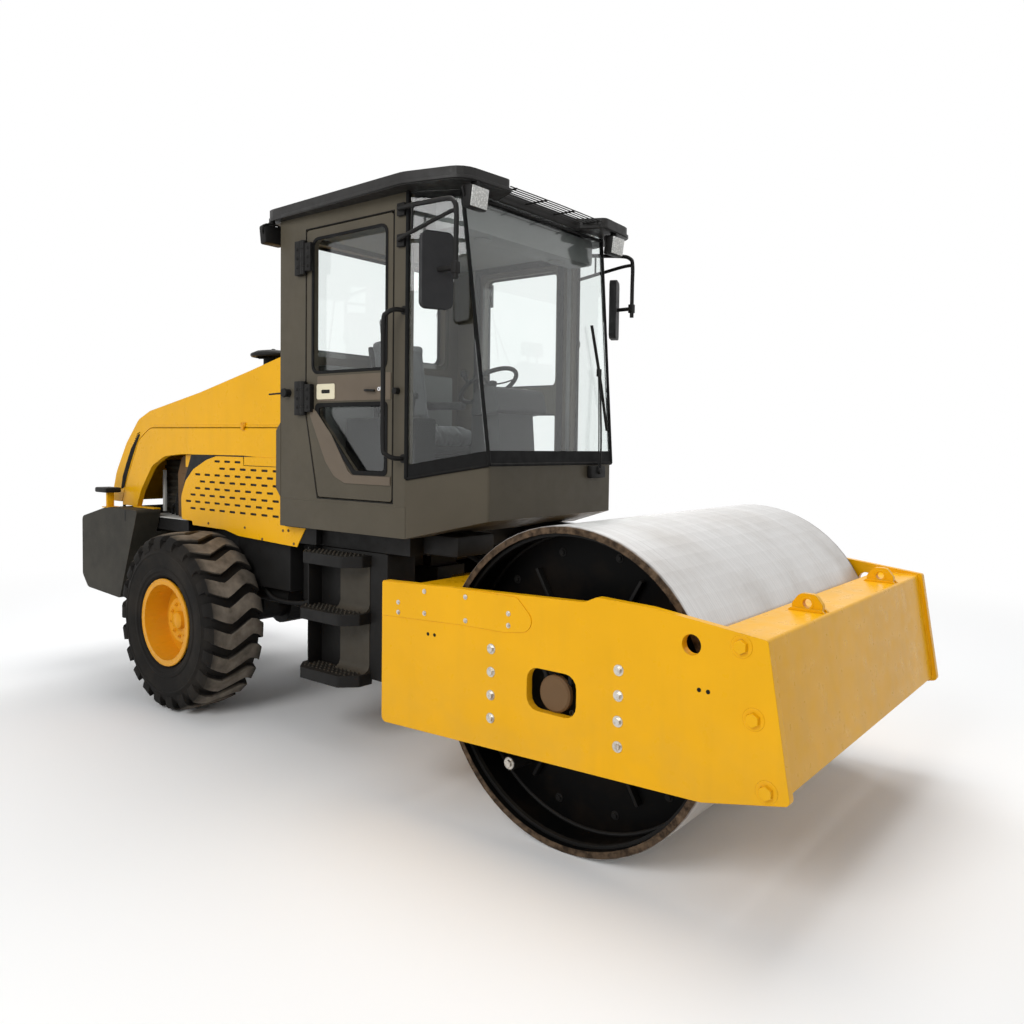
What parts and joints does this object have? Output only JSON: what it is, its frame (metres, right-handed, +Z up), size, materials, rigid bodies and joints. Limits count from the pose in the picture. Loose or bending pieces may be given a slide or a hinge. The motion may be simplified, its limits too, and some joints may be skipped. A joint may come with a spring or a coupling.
{
  "type": "road roller",
  "caption": "Articulated single-drum road roller with closed cab: steered front yoke and smooth drum, driven rear tyres, opening doors and engine hood.",
  "frame": {"origin": "on the ground, at the middle of the machine's length and width", "axes": "+X forward towards the drum, +Y to the driver's left, +Z up"},
  "size_m": [6.0469, 2.28, 3.32],
  "materials": {
    "yellow_paint": "semi-gloss",
    "drum_steel": "worn",
    "cab_paint": "satin",
    "black_paint": "satin",
    "grey_cast": "painted",
    "roof_plastic": "matte",
    "tyre_rubber": "matte",
    "rim_paint": "semi-gloss",
    "cab_glass": "clear",
    "seat_fabric": "woven",
    "console_plastic": "matte",
    "rod_chrome": "polished"
  },
  "bodies": {
    "rear_frame": {"rear_chassis": "black_paint", "articulation_block": "black_paint", "rear_axle": "black_paint", "counterweight": "grey_cast", "right_fender": "yellow_paint", "left_fender": "yellow_paint", "right_side_grille": "yellow_paint", "left_side_grille": "yellow_paint", "engine_block": "grey_cast", "right_steps": "black_paint", "left_steps": "black_paint", "cab_base": "cab_paint", "cab_right_side": "cab_paint", "cab_left_side": "cab_paint", "cab_rear_wall": "cab_paint", "cab_front_panel": "cab_paint", "cab_roof": "roof_plastic", "windshield": "cab_glass", "right_quarter_glass": "cab_glass", "left_quarter_glass": "cab_glass", "rear_glass": "cab_glass", "seat": "seat_fabric", "steering_console": "console_plastic", "right_mirror": "black_paint", "left_mirror": "black_paint"},
    "front_frame": {"yoke_right_plate": "yellow_paint", "yoke_left_plate": "yellow_paint", "yoke_front_beam": "yellow_paint", "yoke_rear_beam": "yellow_paint", "right_drum_carrier": "grey_cast", "left_drum_carrier": "grey_cast", "drum_scraper": "black_paint"},
    "roller": {"drum": "drum_steel"},
    "right_wheel": {"right_rim": "rim_paint", "right_tyre": "tyre_rubber"},
    "left_wheel": {"left_rim": "rim_paint", "left_tyre": "tyre_rubber"},
    "right_door_leaf": {"right_door": "cab_paint", "right_door_glass": "cab_glass"},
    "left_door_leaf": {"left_door": "cab_paint", "left_door_glass": "cab_glass"},
    "engine_hood": {"hood": "yellow_paint"},
    "right_barrel": {"right_steering_barrel": "black_paint"},
    "left_barrel": {"left_steering_barrel": "black_paint"},
    "right_rod": {"right_steering_rod": "rod_chrome"},
    "left_rod": {"left_steering_rod": "rod_chrome"}
  },
  "joints": [
    {"name": "steering", "type": "hinge", "parent": "rear_frame", "child": "front_frame", "pos_m": [0.425, 0, 0.75], "axis": [0, 0, 1], "range_deg": [-35, 35]},
    {"name": "drum_spin", "type": "hinge", "parent": "front_frame", "child": "roller", "pos_m": [1.925, 0, 0.75], "axis": [0, 1, 0], "continuous": true},
    {"name": "right_wheel_spin", "type": "hinge", "parent": "rear_frame", "child": "right_wheel", "pos_m": [-1.395, -0.91, 0.611], "axis": [0, 1, 0], "continuous": true},
    {"name": "left_wheel_spin", "type": "hinge", "parent": "rear_frame", "child": "left_wheel", "pos_m": [-1.395, 0.91, 0.611], "axis": [0, 1, 0], "continuous": true},
    {"name": "right_door_swing", "type": "hinge", "parent": "rear_frame", "child": "right_door_leaf", "pos_m": [-0.225, -0.847, 2.5], "axis": [0, 0, -1], "range_deg": [0, 110]},
    {"name": "left_door_swing", "type": "hinge", "parent": "rear_frame", "child": "left_door_leaf", "pos_m": [-0.225, 0.847, 2.5], "axis": [0, 0, 1], "range_deg": [0, 110]},
    {"name": "hood_lift", "type": "hinge", "parent": "rear_frame", "child": "engine_hood", "pos_m": [-0.505, 0, 2.385], "axis": [0, 1, 0], "range_deg": [0, 50]},
    {"name": "right_barrel_swing", "type": "hinge", "parent": "rear_frame", "child": "right_barrel", "pos_m": [-0.195, -0.26, 0.75], "axis": [0, 0, 1], "range_deg": [-11, 11]},
    {"name": "left_barrel_swing", "type": "hinge", "parent": "rear_frame", "child": "left_barrel", "pos_m": [-0.195, 0.26, 0.75], "axis": [0, 0, 1], "range_deg": [-11, 11]},
    {"name": "right_rod_slide", "type": "slide", "parent": "right_barrel", "child": "right_rod", "axis": [0.9975, -0.0712, 0], "range_m": [-0.19, 0.19]},
    {"name": "left_rod_slide", "type": "slide", "parent": "left_barrel", "child": "left_rod", "axis": [0.9975, 0.0712, 0], "range_m": [-0.19, 0.19]}
  ],
  "couplings": [
    {"joint": "right_barrel_swing", "follows": "steering", "ratio": 0.2892},
    {"joint": "left_barrel_swing", "follows": "steering", "ratio": 0.2892},
    {"joint": "right_rod_slide", "follows": "steering", "m_per_rad": 0.3006},
    {"joint": "left_rod_slide", "follows": "steering", "m_per_rad": -0.3006}
  ]
}
